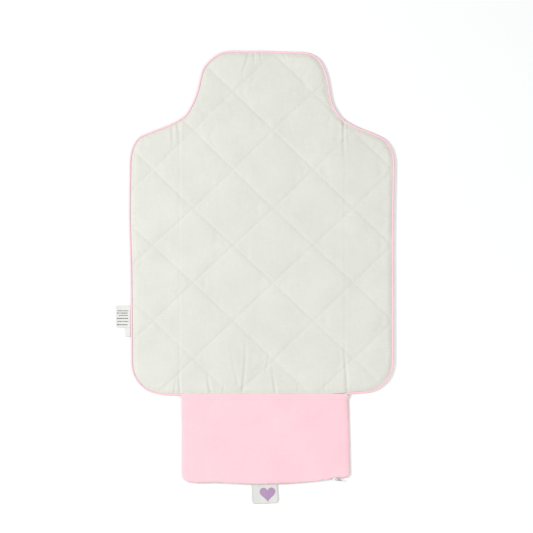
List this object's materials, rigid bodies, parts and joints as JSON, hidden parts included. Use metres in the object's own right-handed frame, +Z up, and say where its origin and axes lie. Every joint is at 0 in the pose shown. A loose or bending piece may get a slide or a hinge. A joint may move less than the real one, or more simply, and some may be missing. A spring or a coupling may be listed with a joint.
{
  "type": "changing pad",
  "caption": "Soft quilted baby changing pad with a head lobe, fold-in side wings, piped edges and a zip pocket that it folds up into.",
  "frame": {"origin": "underside of the pad, on its centre line, level with the middle of the side edges", "axes": "+Z up off the floor, +Y towards the head lobe, +X to the right seen from above with the head lobe away"},
  "size_m": [0.4615, 0.7478, 0.0075],
  "materials": {
    "white_muslin": "matt open cotton weave, quilted in diamonds",
    "pink_muslin": "matt open cotton weave",
    "pink_piping": "matt bias-cut cotton",
    "wadding": "matt fibre wadding",
    "liner_film": "smooth soft film",
    "piping_cord": "matt twisted cotton",
    "label_satin": "smooth satin ribbon",
    "zip_tape": "fine woven tape",
    "zip_coil": "satin nylon",
    "zip_metal": "dark plated, satin"
  },
  "bodies": {
    "centre": {"centre_top_cover": "white_muslin", "centre_backing": "pink_muslin", "centre_wadding": "wadding", "centre_waterproof_liner": "liner_film", "bottom_piping": "pink_piping", "bottom_piping_cord": "piping_cord", "left_neck_piping": "pink_piping", "left_neck_piping_cord": "piping_cord", "right_neck_piping": "pink_piping", "right_neck_piping_cord": "piping_cord"},
    "left_wing": {"left_wing_top_cover": "white_muslin", "left_wing_backing": "pink_muslin", "left_wing_wadding": "wadding", "left_wing_waterproof_liner": "liner_film", "left_wing_piping": "pink_piping", "left_wing_piping_cord": "piping_cord"},
    "right_wing": {"right_wing_top_cover": "white_muslin", "right_wing_backing": "pink_muslin", "right_wing_wadding": "wadding", "right_wing_waterproof_liner": "liner_film", "right_wing_piping": "pink_piping", "right_wing_piping_cord": "piping_cord"},
    "head": {"head_top_cover": "white_muslin", "head_backing": "pink_muslin", "head_wadding": "wadding", "head_waterproof_liner": "liner_film", "head_piping": "pink_piping", "head_piping_cord": "piping_cord"},
    "pocket": {"pocket_front_panel": "pink_muslin", "pocket_back_panel": "pink_muslin", "pocket_left_seam": "pink_muslin", "pocket_right_seam": "pink_muslin", "pocket_top_seam": "pink_muslin", "zip_tape_front": "zip_tape", "zip_tape_rear": "zip_tape", "zip_coil_front": "zip_coil", "zip_coil_rear": "zip_coil", "zip_stop_left": "zip_metal", "zip_stop_right": "zip_metal", "loop_label_tail": "label_satin"},
    "zip_slider": {"zip_slider": "zip_metal"},
    "zip_pull": {"zip_pull": "zip_metal"},
    "care_labels": {"care_label_front": "label_satin", "care_label_rear": "label_satin"},
    "loop_label": {"loop_label": "label_satin"}
  },
  "joints": [
    {"name": "left_wing_fold", "type": "hinge", "parent": "centre", "child": "left_wing", "pos_m": [-0.1385, 0, 0.0063], "axis": [0, 1, 0], "range_deg": [0, 180]},
    {"name": "right_wing_fold", "type": "hinge", "parent": "centre", "child": "right_wing", "pos_m": [0.1385, 0, 0.0063], "axis": [0, -1, 0], "range_deg": [0, 180]},
    {"name": "head_fold", "type": "hinge", "parent": "centre", "child": "head", "pos_m": [0, 0.269, 0.0098], "axis": [1, 0, 0], "range_deg": [0, 180]},
    {"name": "pocket_fold", "type": "hinge", "parent": "centre", "child": "pocket", "pos_m": [0, -0.19515, 0.0104], "axis": [-1, 0, 0], "range_deg": [0, 180]},
    {"name": "zip_slide", "type": "slide", "parent": "pocket", "child": "zip_slider", "axis": [-0.9995, -0.0332, 0], "range_m": [0, 0.238]},
    {"name": "zip_pull_swing", "type": "hinge", "parent": "zip_slider", "child": "zip_pull", "pos_m": [0.12107, -0.33154, 0.0059], "axis": [-0.0332, 0.9995, 0], "range_deg": [-150, 0]},
    {"name": "care_label_lift", "type": "hinge", "parent": "left_wing", "child": "care_labels", "pos_m": [-0.2185, -0.07, 0.0024], "axis": [0, -1, 0], "range_deg": [-95, 0]},
    {"name": "loop_label_lift", "type": "hinge", "parent": "pocket", "child": "loop_label", "pos_m": [0.00438, -0.34296, 0.00042], "axis": [0.9995, 0.0332, 0], "range_deg": [-95, 0]}
  ]
}
